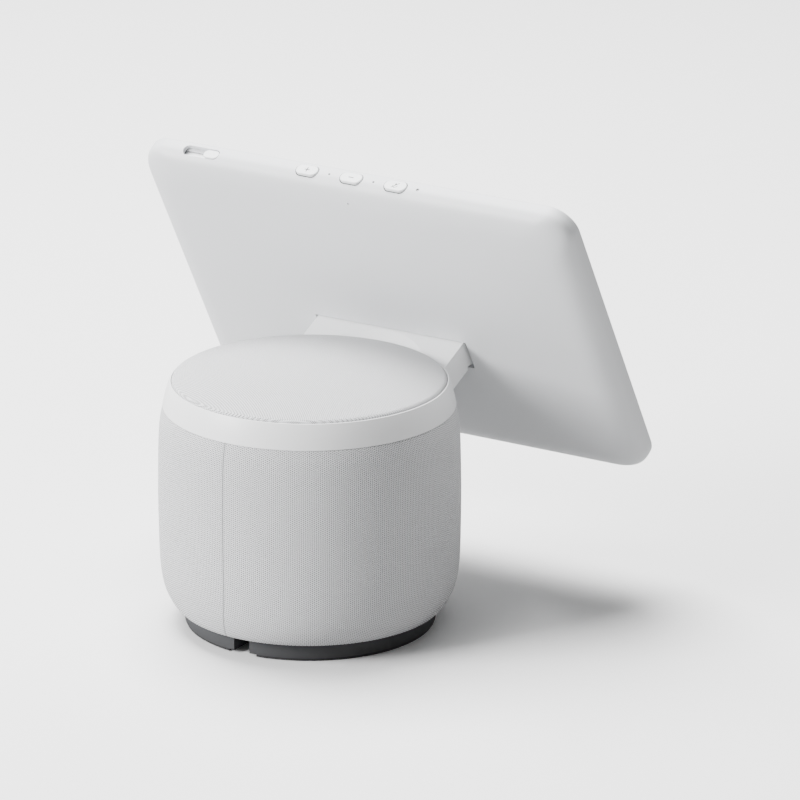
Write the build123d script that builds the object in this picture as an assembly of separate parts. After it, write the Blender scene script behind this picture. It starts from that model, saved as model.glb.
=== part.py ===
"""Smart speaker with a motorised swivelling screen, as an assembly of separate pieces.

Row frame, millimetres: origin at the centre of the resting face, +Z up, the screen faces -Y and the
cable notch is at +Y.  A fabric-covered barrel stands on a dark foot.  A collar on top of the barrel turns
about Z and carries an arm, and the screen tilts about a horizontal shaft at the arm's end.

Parts of the screen are drawn in the screen's own frame and put in place by on_screen():
x across, y up the screen's face, z towards the viewer, with z = 0 at the edge of the rounded back.
"""

import os
from math import acos, cos, pi, radians, sin, sqrt, tan

from build123d import *

# ---------------------------------------------------------------- driving dimensions
# Barrel: (radius, height) points of its outline, from the foot to the seam under the collar.
BARREL = [(67.3, 9.7), (71.1, 15.0), (74.2, 24.0), (75.6, 42.0), (75.9, 65.0), (75.4, 95.0), (73.2, 113.0)]
FABRIC_T = 0.9
SHELL_T = 2.2
FOOT_R = 63.2
FOOT_TOP = 9.6
PAD_T = 1.4
NOTCH_W = 9.0
NOTCH_IN = 42.0  # y where the notch ends at the power socket

COLLAR_LOW = (73.2, 113.5)
COLLAR_MID = (71.6, 120.2)
COLLAR_TOP = (69.6, 126.0)
DOME_R = 68.7
DOME_EDGE_Z = 126.2
DOME_RISE = 9.0

TILT_REST = 29.5  # the screen's lean from upright in the rest pose, degrees
PIVOT = (0.0, -86.0, 123.8)
SHAFT_R = 2.5
RUN_FIT = 0.05  # radial clearance of a running fit

ARM_HALF_W = 43.3
ARM_SLOPE = 24.0  # degrees above the horizontal, rising towards the screen
ARM_ABOVE = 10.8  # from the shaft's axis to the arm's top face
ARM_BELOW = 5.2  # from the shaft's axis to the arm's underside
ARM_SKIN = 2.0

SCREEN_W = 251.0
SCREEN_H = 178.0
SCREEN_T = 13.2
SCREEN_CORNER = 14.0
BACK_CROWN = 4.2  # how far the middle of the back stands behind its edge
SCREEN_SKIN = 2.0
PIVOT_V = -18.0  # the shaft's axis in the screen's frame
PIVOT_W = 1.0
POCKET_HALF_W = 45.0
POCKET_TOP = PIVOT_V + 11.9
POCKET_LOW = PIVOT_V - 6.6
POCKET_FLOOR = PIVOT_W + 5.7

BUTTON_W = 8.1  # z of the row of buttons in the screen's frame
BUTTON_PITCH = 26.0
BUTTON_SIZE = (12.6, 6.6)
BUTTON_PROUD = 0.45
BUTTON_TRAVEL = 0.6
SLOT_SIZE = (21.6, 6.0)
SLOT_X = 89.4
SLOT_Z = 7.6
KNOB_LENGTH = 8.9
SHUTTER_TRAVEL = SLOT_SIZE[0] - KNOB_LENGTH - 0.7
CAMERA_AT = (101.5, 77.5)

GEAR_MODULE = 0.8
GEAR_TEETH = 84
PINION_TEETH = 14
GEAR_Z = (102.2, 107.4)
MOTOR_ANGLE = 205.0  # direction of the motor from the barrel's axis, degrees from +X

DECK_Z = (88.4, 91.4)
BALL_R = 1.5
BALL_PITCH_R = 60.0
BALL_Z = 104.0
BALLS = 30
GAP = 0.05  # between pieces that lie against each other


# ---------------------------------------------------------------- small helpers
def disc(r, z0, z1, x=0.0, y=0.0):
    return Pos(x, y, (z0 + z1) / 2) * Cylinder(r, z1 - z0)


def ring(outer, inner, z0, z1, x=0.0, y=0.0):
    return disc(outer, z0, z1, x, y) - disc(inner, z0 - 1, z1 + 1, x, y)


def block(x0, x1, y0, y1, z0, z1):
    centre = ((x0 + x1) / 2, (y0 + y1) / 2, (z0 + z1) / 2)
    return Pos(*centre) * Box(abs(x1 - x0), abs(y1 - y0), abs(z1 - z0))


def plate(w, h, r, z0, z1, x=0.0, y=0.0):
    return Pos(x, y, z0) * extrude(RectangleRounded(w, h, r), z1 - z0)


def turned(points):
    """A solid turned about Z from a closed outline of (radius, height) points."""
    outline = Plane.XZ * make_face(Polyline(*points, close=True))
    return revolve(outline, Axis.Z)


def round_about(shape, count, start=0.0, span=360.0):
    step = span / count
    return [Rot(0, 0, start + i * step) * shape for i in range(count)]


def group(shapes):
    return Compound(children=[s for shape in shapes for s in shape.solids()])


def cut_all(shape, tools):
    return shape - list(tools)


def on_screen(shape):
    """Moves a shape from the screen's frame to its place in the row frame."""
    return Pos(*PIVOT) * Rot(90 - TILT_REST, 0, 0) * Pos(0, -PIVOT_V, -PIVOT_W) * shape


def across(r, x0, x1, y=0.0, z=0.0):
    """A cylinder along X."""
    return Pos((x0 + x1) / 2, y, z) * Rot(0, 90, 0) * Cylinder(r, abs(x1 - x0))


def screw(shank_r, head_r, length, head_h):
    """A socket-head screw pointing down, its head resting on z = 0."""
    head = disc(head_r, 0, head_h) - disc(head_r * 0.45, head_h * 0.4, head_h + 1)
    return head + disc(shank_r, -length, 0)


WRITTEN = []


def save(name, shape):
    solids = shape.solids()
    shape = solids[0] if len(solids) == 1 else Compound(children=list(solids))
    shape.label = name
    export_step(shape, f"parts/{name}.step")
    WRITTEN.append(name)


# ---------------------------------------------------------------- barrel and foot
def barrel(inset, z0, z1):
    """The barrel's outline moved in by inset, as a solid between two heights."""
    pts = [(r - inset, z) for r, z in BARREL]
    low, high = pts[0], pts[-1]
    side = Spline(*pts)
    rest = Polyline(high, (0, high[1]), (0, low[1]), low)
    solid = revolve(Plane.XZ * make_face([side, rest]), Axis.Z)
    if z0 > low[1] or z1 < high[1]:
        solid = solid & disc(90, z0, z1)
    return solid


def make_fabric_sleeve():
    low, high = BARREL[0][1], BARREL[-1][1]
    sleeve = barrel(0, low, high) - barrel(FABRIC_T, low, high)
    hem = ring(BARREL[0][0] - 0.2, FOOT_R + 0.6, low, low + 0.8)
    return sleeve + hem


def make_grille_shell():
    inset = FABRIC_T + GAP
    low, high = BARREL[0][1] + 0.9, BARREL[-1][1] - 0.3
    shell = barrel(inset, low, high) - barrel(inset + SHELL_T, low, high)
    slots = []
    for z0, z1 in ((24, 48), (53, 77)):
        slot = block(66, 80, -1.5, 1.5, z0, z1)
        slots += round_about(slot, 36, 5)
    return cut_all(shell, slots)


def notch(width, z0, z1, y0=NOTCH_IN):
    return block(-width / 2, width / 2, y0, 90, z0, z1)


def make_foot_pad():
    pad = disc(FOOT_R - 0.6, 0, PAD_T)
    return pad - notch(NOTCH_W + 7, -1, PAD_T + 1, NOTCH_IN - 3)


def screw_places(radius, count, start):
    return [(radius * cos(radians(a)), radius * sin(radians(a)))
            for a in (start + i * 360 / count for i in range(count))]


def mirrored_places(radius, angle):
    """One place on each side of the YZ plane."""
    x, y = radius * cos(radians(angle)), radius * sin(radians(angle))
    return [(x, y), (-x, y)]


FOOT_SCREWS = screw_places(57.0, 4, 45)
DECK_SCREWS = [p for start in (5, 45) for p in mirrored_places(63.0, start)]


def make_base_plate():
    """The dark foot: a tray open at the top, with the cable notch and the socket's housing."""
    tray = disc(FOOT_R, PAD_T, FOOT_TOP) - disc(FOOT_R - 3, 4.2, FOOT_TOP + 1)
    housing = block(-9, 9, NOTCH_IN - 18, FOOT_R - 2, PAD_T, FOOT_TOP) & disc(FOOT_R - 1, 0, 20)
    tray = tray + housing
    tray = tray - notch(NOTCH_W, 0, FOOT_TOP - 0.9)
    tray = tray - block(-5.6, 5.6, NOTCH_IN - 15, NOTCH_IN + 1, 2.0, FOOT_TOP + 1)
    for x, y in FOOT_SCREWS:
        tray = tray + disc(4.2, PAD_T, FOOT_TOP, x, y)
        tray = tray - disc(1.7, 0, 20, x, y) - disc(3.2, 0, 3.6, x, y)
    return tray


def make_foot_screws():
    one = Rot(180, 0, 0) * screw(1.5, 3.0, 8.6, 2.0)
    return group([Pos(x, y, 3.6) * one for x, y in FOOT_SCREWS])


def make_ballast():
    weight = disc(FOOT_R - 8.4, 4.3, 9.4)
    weight = weight - block(-10, 10, NOTCH_IN - 20, 90, 0, 20)
    for x, y in FOOT_SCREWS:
        weight = weight - disc(4.8, 0, 20, x, y)
    return weight


def make_power_socket():
    """A barrel socket facing the notch, with its centre pin."""
    y0, y1, z = NOTCH_IN - 14.8, NOTCH_IN - 0.2, 5.6
    body = block(-5.4, 5.4, y0, y1, 2.2, 9.0)
    bore = Pos(0, y1 - 4.5, z) * Rot(90, 0, 0) * Cylinder(2.8, 9.2)
    pin = Pos(0, y1 - 5.0, z) * Rot(90, 0, 0) * Cylinder(1.0, 9.4)
    return (body - bore) + pin


def make_lower_chassis():
    floor = disc(64.0, 10.6, 12.6)
    spigot = ring(59.9, 57.4, FOOT_TOP - 1.0, 10.6)
    floor = floor + spigot
    for x, y in FOOT_SCREWS:
        floor = floor + disc(3.9, 10.0, 17.0, x, y) - disc(1.5 + GAP, 0, 13.0, x, y)
        floor = floor - disc(4.5, 0, 10.0, x, y)
    return floor - block(-10, 10, 20, 90, 0, 10.6)


# ---------------------------------------------------------------- sound
WOOFER_Z = 50.6
BAFFLE_Y = -57.0
ENCLOSURE_R = 69.6
ENCLOSURE_Z = (12.8, 87.9)
REAR_FLAT_Y = 47.0
TWEETER_AZIMUTH = 66.0
TWEETER_R = 62.5
TWEETER_Z = 52.0


def tweeter_place(side):
    """Local +Z of a driver pointing out of the barrel towards the front and one side."""
    a = radians(TWEETER_AZIMUTH)
    x, y = side * TWEETER_R * sin(a), -TWEETER_R * cos(a)
    return Pos(x, y, TWEETER_Z) * Rot(0, 0, -90 + side * TWEETER_AZIMUTH) * Rot(0, 90, 0)


def woofer_place():
    return Pos(0, BAFFLE_Y, WOOFER_Z) * Rot(90, 0, 0)


def make_enclosure():
    z0, z1 = ENCLOSURE_Z
    wall = 2.4
    outer = turned([(0, z0), (65.2, z0), (ENCLOSURE_R, z0 + 9), (ENCLOSURE_R, z1), (0, z1)])
    inner = disc(ENCLOSURE_R - wall - 3.6, z0 + wall, z1 + 1) + disc(ENCLOSURE_R - wall, z0 + 9, z1 + 1)
    outer = outer & block(-90, 90, BAFFLE_Y, REAR_FLAT_Y, z0, z1)
    inner = inner & block(-90, 90, BAFFLE_Y + 3, REAR_FLAT_Y - wall, z0 + wall, z1 + 1)
    shell = outer - inner
    for side in (-1, 1):
        place = tweeter_place(side)
        shell = shell + (place * disc(17.0, -7.0, 0) & disc(ENCLOSURE_R, z0, z1))
        shell = shell - place * disc(17.2, 0, 20) - place * disc(11.3, -12, 1)
    shell = shell - woofer_place() * disc(32.6, -8, 2)
    for a in range(45, 360, 90):
        shell = shell - woofer_place() * (Rot(0, 0, a) * disc(1.3, -6, 1, 34.6))
    post = disc(4.0, z0, z1)
    for x, y in DECK_SCREWS:
        if abs(y) < REAR_FLAT_Y:
            shell = shell + (Pos(x * 0.985, y * 0.985, 0) * post & disc(ENCLOSURE_R, z0, z1))
            shell = shell - disc(1.3, z1 - 14, z1 + 1, x, y)
    for x, y in FOOT_SCREWS:
        if y < REAR_FLAT_Y:
            shell = shell - disc(4.1, 0, 17.2, x, y)
            if y > BAFFLE_Y:
                shell = shell + (ring(6.0, 4.1, z0 + wall, 19.2, x, y) & outer)
                shell = shell + (disc(6.0, 17.3, 19.2, x, y) & outer)
    return shell.solids().sort_by(lambda solid: solid.volume)[-1]


def make_woofer_basket():
    """Pressed basket: flange, sloping spider with four windows and the rear ring."""
    flange = ring(36.6, 31.0, 0, 1.6)
    cone = turned([(32.0, 0), (32.0, -4.0), (21.0, -22.0), (21.0, -26.0), (19.0, -26.0), (19.0, -21.6),
                   (30.2, -3.4), (30.2, 0)])
    basket = flange + cone
    window = block(19, 40, -11, 11, -19.5, -5.0)
    basket = cut_all(basket, round_about(window, 4, 45))
    holes = [Rot(0, 0, a) * disc(1.6, -1, 3, 34.6) for a in range(45, 360, 90)]
    return woofer_place() * cut_all(basket, holes)


def make_woofer_cone():
    cone = turned([(26.0, 1.0), (10.2, -12.0), (10.2, -21.0), (9.6, -21.0), (9.6, -11.6), (25.6, 1.7)])
    cap_r = 10.6
    cap = turned([(0, -7.6), (4, -7.9), (8, -9.2), (cap_r, -11.2), (cap_r - 0.9, -11.9), (8, -10.0),
                  (4, -8.6), (0, -8.3)])
    return woofer_place() * (cone + cap)


def make_woofer_surround():
    """A half-roll of rubber between the cone and the flange."""
    middle, half = 28.6, 2.6
    roll = Pos(middle, 1.65) * (Circle(half) - Circle(half - 0.7))
    roll = roll & Pos(middle, 1.65 + half) * Rectangle(4 * half, 2 * half)
    lip = Pos(middle + half + 1.0, 2.0) * Rectangle(2.4, 0.7)
    return woofer_place() * revolve(Plane.XZ * (roll + lip), Axis.Z)


def make_woofer_magnet():
    plate_front = ring(20.6, 11.2, -30.0, -26.1)
    magnet = ring(22.5, 12.0, -39.0, -30.0)
    back = disc(20.0, -42.6, -39.0)
    pole = disc(8.6, -39.0, -24.0)
    return woofer_place() * (plate_front + magnet + back + pole)


def make_tweeter(side):
    body = ring(15.6, 9.4, 0.05, 1.8) + ring(11.0, 9.4, -6.0, 0.05) + disc(11.0, -10.5, -6.0)
    magnet = disc(9.0, -15.5, -10.5)
    return tweeter_place(side) * (body + magnet)


def make_tweeter_domes():
    r, rise = 9.2, 2.6
    sphere_r = (r * r + rise * rise) / (2 * rise)
    cap = Pos(0, 0, rise - sphere_r) * (Sphere(sphere_r) - Sphere(sphere_r - 0.35))
    cap = (cap & disc(r, 0.0, rise + 1)) + ring(r, r - 0.6, -0.6, 0.2)
    return group([tweeter_place(s) * cap for s in (-1, 1)])


# ---------------------------------------------------------------- electronics in the barrel
BOARD_Y = 50.5


def make_power_board():
    board = block(-38, 38, BOARD_Y, BOARD_Y + 1.6, 20, 84)
    back = BOARD_Y + 1.6
    coils = [Pos(x, back + 3.5, 30) * Rot(90, 0, 0) * Cylinder(5.0, 7.0) for x in (-24, -11)]
    caps = [Pos(x, back + 5.0, 70) * Rot(90, 0, 0) * Cylinder(4.0, 10.0) for x in (-28, -18, -8)]
    chip = block(-6, 8, back, back + 1.4, 44, 58)
    header = block(14, 34, back, back + 6, 24, 30)
    return board + chip + header + coils + caps


def make_heat_sink():
    y = BOARD_Y + 1.6 + 1.4 + GAP
    sink = block(-12, 14, y, y + 1.5, 40, 62)
    for i in range(6):
        x = -11.2 + i * 4.8
        sink = sink + block(x, x + 1.2, y, y + 10.0, 40, 62)
    return sink


def make_board_standoffs():
    posts = []
    for x in (-34, 34):
        for z in (23.5, 80.5):
            posts.append(Pos(x, REAR_FLAT_Y + 1.72, z) * Rot(90, 0, 0) * Cylinder(2.6, 3.4))
    return group(posts)


# ---------------------------------------------------------------- deck, motor and bearing
def gear_outline(teeth, backlash):
    """Involute outline: each flank is one arc through three points of the involute."""
    pitch_r = GEAR_MODULE * teeth / 2
    base_r = pitch_r * cos(radians(20))
    tip_r = pitch_r + GEAR_MODULE * 0.95
    root_r = pitch_r - GEAR_MODULE * 1.2
    start_r = max(base_r, root_r + 0.12)

    def involute(r):
        a = acos(min(1.0, base_r / r))
        return tan(a) - a

    half = pi / (2 * teeth) - backlash / (2 * pitch_r) + involute(pitch_r)

    def point(r, angle):
        return (r * cos(angle), r * sin(angle))

    edges, pitch = [], 2 * pi / teeth
    for i in range(teeth):
        mid = i * pitch
        low, high = half - involute(start_r), half - involute(tip_r)
        mean_r = (start_r + tip_r) / 2
        mean = half - involute(mean_r)
        a = [point(root_r, mid - low), point(start_r, mid - low), point(mean_r, mid - mean),
             point(tip_r, mid - high)]
        b = [point(tip_r, mid + high), point(mean_r, mid + mean), point(start_r, mid + low),
             point(root_r, mid + low)]
        following = point(root_r, mid + pitch - low)
        edges += [Line(a[0], a[1]), ThreePointArc(a[1], a[2], a[3]), Line(a[3], b[0]),
                  ThreePointArc(b[0], b[1], b[2]), Line(b[2], b[3]), Line(b[3], following)]
    return make_face(edges)


CENTRES = GEAR_MODULE * (GEAR_TEETH + PINION_TEETH) / 2
MOTOR_X = CENTRES * cos(radians(MOTOR_ANGLE))
MOTOR_Y = CENTRES * sin(radians(MOTOR_ANGLE))


def make_drive_gear():
    z0, z1 = GEAR_Z
    gear = Pos(0, 0, z0) * extrude(gear_outline(GEAR_TEETH, 0.10), z1 - z0)
    gear = gear - disc(17.0, z0 - 1, z1 + 1) - ring(29.5, 20.0, z0 - 1, z0 + 2.4)
    for x, y in screw_places(24.5, 4, 0):
        gear = gear - disc(1.6, z0 - 1, z1 + 1, x, y)
    return gear


def make_pinion():
    """A tooth space faces the drive gear's tooth, so the pair is in mesh at rest."""
    z0, z1 = GEAR_Z[0] + 0.2, GEAR_Z[1] - 0.2
    pinion = extrude(gear_outline(PINION_TEETH, 0.10), z1 - z0) - Cylinder(1.5, 30)
    # Towards the gear the pinion's own angle is MOTOR_ANGLE + 180, where a space must lie while the
    # gear shows a tooth or the other way about: the phase carries the gear's phase over the ratio.
    gear_phase = (MOTOR_ANGLE / 360.0 * GEAR_TEETH) % 1.0
    phase = MOTOR_ANGLE + 180.0 + (0.5 + gear_phase) * 360.0 / PINION_TEETH
    return Pos(MOTOR_X, MOTOR_Y, z0) * Rot(0, 0, phase) * pinion


def make_motor_rotor():
    shaft = disc(1.5, 92.6, GEAR_Z[1] - 0.2, MOTOR_X, MOTOR_Y)
    bell = ring(10.0, 8.8, 94.0, 99.4, MOTOR_X, MOTOR_Y)
    web = disc(10.0, 99.4, 100.2, MOTOR_X, MOTOR_Y)
    return shaft + bell + web


def make_motor_stator():
    x, y = MOTOR_X, MOTOR_Y
    can = ring(13.5, 10.6, 91.5, 101.6, x, y) + ring(13.5, 1.5 + RUN_FIT, 91.5, 92.4, x, y)
    lid = ring(13.5, 3.0, 100.8, 101.6, x, y)
    core = ring(3.4, 1.5 + RUN_FIT, 92.4, 98.9, x, y)
    tooth = block(3.0, 8.3, -1.0, 1.0, 94.6, 98.4)
    coil = block(4.2, 7.2, -1.9, 1.9, 94.2, 98.8)
    arms = [Pos(x, y, 0) * piece for piece in round_about(tooth + coil, 6)]
    motor = can + lid + core
    for arm in arms:
        motor = motor + arm
    ears = block(x - 3.5, x + 3.5, y - 18, y + 18, 91.5, 92.7) - disc(13.0, 80, 110, x, y)
    ears = ears - disc(1.3, 80, 110, x, y - 16) - disc(1.3, 80, 110, x, y + 16)
    return motor + ears


def race_groove():
    groove_r = BALL_R + 0.03
    section = Pos(BALL_PITCH_R, BALL_Z) * Circle(groove_r)
    return revolve(Plane.XZ * section, Axis.Z)


def make_top_deck():
    z0, z1 = DECK_Z
    deck = disc(68.0, z0, z1) - disc(7.0, z0 - 1, z1 + 1)
    deck = deck + ring(65.0, 62.6, z1, 103.0) + ring(62.6, 55.4, z1, 100.4)
    slot = block(-46, -52, -4, 4, 80, 120)
    deck = deck - Rot(0, 0, 90) * slot
    deck = deck + block(-1.7, 1.7, 47.0, 53.0, z0 + 0.5, 106.0)
    for x, y in screw_places(16.0, 2, 90):
        deck = deck - disc(1.3, z0 - 1, z1 + 1, MOTOR_X + x, MOTOR_Y + y)
    for x, y in DECK_SCREWS:
        deck = deck - disc(1.7, z0 - 1, z1 + 20, x, y) - disc(3.4, z1 + 0.2, 120, x, y)
    return deck


def make_deck_screws():
    one = screw(1.25, 3.0, 12.0, 2.4)
    return group([Pos(x, y, DECK_Z[1] + 0.25) * one for x, y in DECK_SCREWS])


def make_lower_race():
    race = ring(62.5, 55.5, 100.5, BALL_Z - 0.6)
    return race - race_groove()


def make_upper_race():
    race = ring(64.4, 55.5, BALL_Z + 0.6, 107.4)
    return race - race_groove()


def make_ball_cage():
    cage = ring(61.9, 58.1, BALL_Z - 0.35, BALL_Z + 0.35)
    hole = disc(BALL_R + 0.08, BALL_Z - 1, BALL_Z + 1, BALL_PITCH_R)
    return cut_all(cage, round_about(hole, BALLS))


def make_balls():
    ball = Pos(BALL_PITCH_R, 0, BALL_Z) * Sphere(BALL_R)
    return group(round_about(ball, BALLS))


def make_flex_cassette():
    z1 = DECK_Z[1]
    cassette = ring(21.0, 19.8, z1 + GAP, 100.4) + ring(21.0, 7.4, z1 + GAP, z1 + 1.2)
    return cassette - block(-1.5, 1.5, -25, -18, z1 + 1.4, 99.0)


def make_spiral_flex():
    """The flat cable that winds and unwinds as the head turns: a few turns of ribbon."""
    turns, r0, r1, half_t = 3.0, 11.6, 18.8, 0.15
    steps = 28
    inner, outer = [], []
    for i in range(steps * int(turns) + 1):
        a = 2 * pi * i / steps
        r = r0 + (r1 - r0) * i / (steps * turns)
        inner.append(((r - half_t) * cos(a), (r - half_t) * sin(a)))
        outer.append(((r + half_t) * cos(a), (r + half_t) * sin(a)))
    face = make_face([Spline(*inner), Line(inner[-1], outer[-1]), Spline(*outer[::-1]),
                      Line(outer[0], inner[0])])
    return Pos(0, 0, DECK_Z[1] + 1.6) * extrude(face, 6.4)


# ---------------------------------------------------------------- turning head
IN_ARM = Pos(*PIVOT) * Rot(-ARM_SLOPE, 0, 0)  # frame on the shaft: y along the arm to the barrel, z up
COLLAR_SCREWS = [(x, y) for x, y in screw_places(66.2, 6, 30) if y > -60]  # none under the arm


def arm_outline(top, below, end_r, end_top_y, y_in):
    """The arm's side view: top and underside are parallel, and its end is round about the shaft."""
    py, pz = PIVOT[1], PIVOT[2]
    s = radians(ARM_SLOPE)
    along, up = (cos(s), -sin(s)), (sin(s), cos(s))

    def at(height, distance):
        return (py + up[0] * height + along[0] * distance, pz + up[1] * height + along[1] * distance)

    far = (y_in - py) / along[0]
    # the rounded end runs from the underside, round the front of the shaft, to the end of the top face
    a0, a1 = radians(-90), radians(-215)
    arc_low = at(end_r * sin(a0), end_r * cos(a0))
    arc_mid = at(end_r * sin((a0 + a1) / 2), end_r * cos((a0 + a1) / 2))
    arc_high = at(end_r * sin(a1), end_r * cos(a1))
    edges = [Line(at(top, far), at(top, end_top_y)), Line(at(top, end_top_y), arc_high),
             ThreePointArc(arc_high, arc_mid, arc_low)]
    last = arc_low
    if abs(below - end_r) > 1e-6:
        last = at(-below, 1.0)
        edges.append(Line(arc_low, last))
    edges += [Line(last, at(-below, far)), Line(at(-below, far), at(top, far))]
    return make_face(edges)


def arm_solid(half_w, top, below, end_r, end_top_y, y_in=-40.0):
    face = Plane.YZ * arm_outline(top, below, end_r, end_top_y, y_in)
    return extrude(face, half_w, both=True)


def lip_relief(extra=0.0):
    """Where the pocket's lower lip comes when the screen stands upright."""
    y, z = PIVOT[1] + 5.7 + extra, PIVOT[2] - 6.1 + extra
    return block(-60, 60, y - 20, y, z - 20, z)


def over_the_barrel(extra=0.0):
    """Room that a turning piece leaves round the top of the barrel."""
    return disc(BARREL[3][0] + 0.8 + extra, 60, COLLAR_LOW[1] + extra)


def collar_outline(inset):
    low, mid, high = COLLAR_LOW, COLLAR_MID, COLLAR_TOP
    side = ThreePointArc((low[0] - inset, low[1]), (mid[0] - inset, mid[1]), (high[0] - inset, high[1]))
    return side, (low[0] - inset, low[1]), (high[0] - inset, high[1])


def dome_scoop():
    """Cuts the arm's top face back to the collar's slope round the dome."""
    r, z = COLLAR_TOP
    return turned([(0, z), (r, z), (r + 11.4, z + 9.9), (r + 11.4, z + 30), (0, z + 30)])


def make_collar_cover():
    """The white collar and the arm's top and sides, moulded in one piece."""
    side, low, high = collar_outline(0)
    face = make_face([side, Line(high, (DOME_R + 0.3, high[1])),
                      Line((DOME_R + 0.3, high[1]), (DOME_R + 0.3, low[1])),
                      Line((DOME_R + 0.3, low[1]), low)])
    collar = revolve(Plane.XZ * face, Axis.Z)
    arm = arm_solid(ARM_HALF_W, ARM_ABOVE, ARM_BELOW, ARM_BELOW, 3.4)
    arm = arm - over_the_barrel() - dome_scoop() - lip_relief() - disc(DOME_R + 0.3, 60, 150)
    cover = collar + arm
    hollow = arm_solid(ARM_HALF_W - ARM_SKIN, ARM_ABOVE - ARM_SKIN, ARM_BELOW + 3, ARM_BELOW - 1.2, 2.0)
    hollow = hollow - disc(74.5, 123.4, 150)
    hollow = hollow + across(ARM_BELOW + 0.4, -40, 40, PIVOT[1], PIVOT[2])
    cover = cover - hollow
    skirt = ring(69.2, 67.6, 109.2, low[1] + 1.0)
    join = ring(DOME_R + 0.6, 67.6, low[1], low[1] + 1.6)
    cover = cover + skirt + join
    for x, y in COLLAR_SCREWS:
        tab = disc(3.6, low[1], low[1] + 1.6, x, y) & disc(69.2, 60, 150)
        cover = cover + tab - disc(1.6, 100, 130, x, y)
    opening = block(-41, 41, -80, -50, 108, 115.6) & ring(78, 60, 108, 115.6)
    cover = cover - across(SHAFT_R + 0.4, -60, 60, PIVOT[1], PIVOT[2])
    return cover - (opening - ring(69.2, 67.6, 108, 112.0))


def make_arm_lower_cover():
    """Closes the arm's underside between the side walls."""
    half_w = ARM_HALF_W - ARM_SKIN - 0.15
    skin = IN_ARM * block(-half_w, half_w, 8.7, 30.0, -ARM_BELOW, -ARM_BELOW + 1.8)
    return skin - over_the_barrel(0.4) - lip_relief() - disc(74.5, 60, 150)


def make_arm_frame():
    """The cast bracket: a foot on the turntable, a sloping web with ribs and two bored knuckles."""
    foot = disc(58.0, 112.2, 115.0) & block(-38, 38, -70, -22, 100, 130)
    web = arm_solid(40.0, ARM_ABOVE - 5.0, 0.6, ARM_BELOW - 1.6, 4.0, -46.0)
    web = web & block(-60, 60, -90, -46, 112.2, 140)
    web = web - arm_solid(34.0, ARM_ABOVE - 8.2, 8, 3, 8.0).moved(Location((0, 13.0, -2.0)))
    frame = foot + web
    riser = block(-40, 40, -58, -46, 112.2, 121.0)
    frame = frame + (riser & disc(66.0, 100, 130))
    knuckles = across(ARM_BELOW - 0.5, -38, 38, PIVOT[1], PIVOT[2])
    frame = frame + knuckles
    frame = frame - block(-12, 12, -95, PIVOT[1] + 6.5, 112, 140)
    for x in (-25, 25):
        frame = frame - (across(ARM_BELOW + 1.0, x - 3.2, x + 3.2, PIVOT[1], PIVOT[2]))
    frame = frame - across(SHAFT_R + RUN_FIT, -60, 60, PIVOT[1], PIVOT[2])
    frame = frame - IN_ARM * block(-10.5, 10.5, 4, 40, -1.2, 4.4)
    frame = frame - block(-10.5, 10.5, -70, -40, 115.1, 118)
    frame = frame - disc(74.8, 121.9, 150)
    frame = frame - lip_relief(0.6) - ring(80, 66.6, 60, COLLAR_LOW[1] + 0.4)
    for x, y in ARM_SCREWS:
        frame = frame - disc(1.7, 100, 130, x, y)
    return frame


ARM_SCREWS = [(-26, -34), (26, -34), (-12, -30), (12, -30)]


def make_head_screws():
    """The screws that hold the arm frame above the turntable and the drive gear below it."""
    arm = screw(1.6, 3.0, 4.4, 2.2)
    gear = Rot(180, 0, 0) * screw(1.5, 2.6, 5.0, 1.6)
    above = [Pos(x, y, 115.0) * arm for x, y in ARM_SCREWS]
    below = [Pos(x, y, GEAR_Z[0] + 2.3) * gear for x, y in screw_places(24.5, 4, 0)]
    return group(above + below)


def make_friction_clips():
    """Sprung clips in the knuckles' slots that grip the shaft."""
    clips = []
    for x in (-25, 25):
        for side in (-1, 1):
            at = x + side * 1.5
            clip = across(ARM_BELOW - 0.9, at - 1.2, at + 1.2, PIVOT[1], PIVOT[2])
            clip = clip - across(SHAFT_R + 0.02, -60, 60, PIVOT[1], PIVOT[2])
            gap = block(at - 2, at + 2, PIVOT[1] - 0.5, PIVOT[1] + 0.5, PIVOT[2] - 9, PIVOT[2] - 1)
            clips.append(clip - gap)
    return group(clips)


def make_turntable():
    """The disc between bearing and collar, with the stop's tab underneath."""
    table = disc(66.8, 107.5, 111.0) - disc(12.0, 100, 120)
    boss = ring(54.0, 20.0, 111.0, 112.1)
    boss = boss - ring(40.0, 30.0, 100, 113)
    tab = block(-1.7, 1.7, -53.0, -47.0, 102.2, 107.5)
    table = table + boss + tab
    for x, y in COLLAR_SCREWS:
        table = table + (disc(3.4, 107.5, COLLAR_LOW[1] - GAP, x, y) & disc(67.3, 100, 120))
        table = table - disc(1.3, 100, 120, x, y)
    for x, y in ARM_SCREWS:
        table = table - disc(1.65, 100, 120, x, y)
    for x, y in screw_places(24.5, 4, 0):
        table = table - disc(1.55, 100, 109.8, x, y)
    return table


def make_collar_screws():
    one = screw(1.25, 2.4, 5.0, 1.8)
    return group([Pos(x, y, COLLAR_LOW[1] + 1.65) * one for x, y in COLLAR_SCREWS])


DOME_SPHERE_R = (DOME_R**2 + DOME_RISE**2) / (2 * DOME_RISE)
DOME_BOTTOM = 122.4
SHOULDER_R = 3.4


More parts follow.
